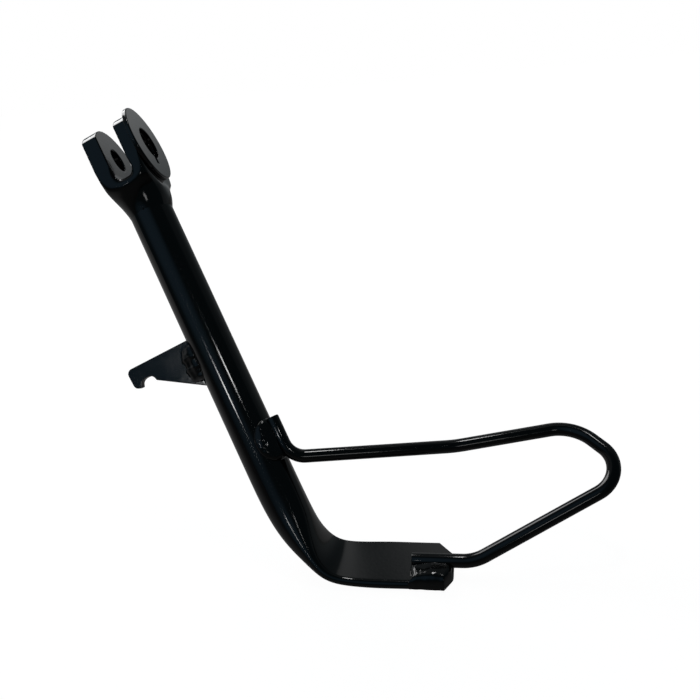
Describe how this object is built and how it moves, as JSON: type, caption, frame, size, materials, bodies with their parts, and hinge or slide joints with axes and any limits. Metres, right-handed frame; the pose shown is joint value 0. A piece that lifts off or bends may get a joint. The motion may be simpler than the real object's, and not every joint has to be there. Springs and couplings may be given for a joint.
{
  "type": "motorcycle side stand",
  "caption": "Motorcycle side stand: bent tube leg with a pressed foot, pivot fork, spring hook plate and rod foot lever, gloss black.",
  "frame": {"origin": "on the axis of the pivot bores, in the plane of the leg's centreline", "axes": "+Z plumb, away from the ground, with the stand down and the sole of the foot level; the pivot axis lies in the XZ plane and rises towards +X, the side of the washer; -Y is the side that the return spring works on"},
  "size_m": [0.3009, 0.1805, 0.2632],
  "materials": {
    "black_enamel": "gloss"
  },
  "bodies": {
    "root": {"leg_tube": "black_enamel", "pivot_fork": "black_enamel", "pivot_washer": "black_enamel", "spring_hook": "black_enamel", "foot_lever": "black_enamel", "fork_weld": "black_enamel", "hook_weld_near": "black_enamel", "hook_weld_far": "black_enamel", "lever_seat_weld": "black_enamel", "lever_foot_weld": "black_enamel"}
  },
  "joints": []
}
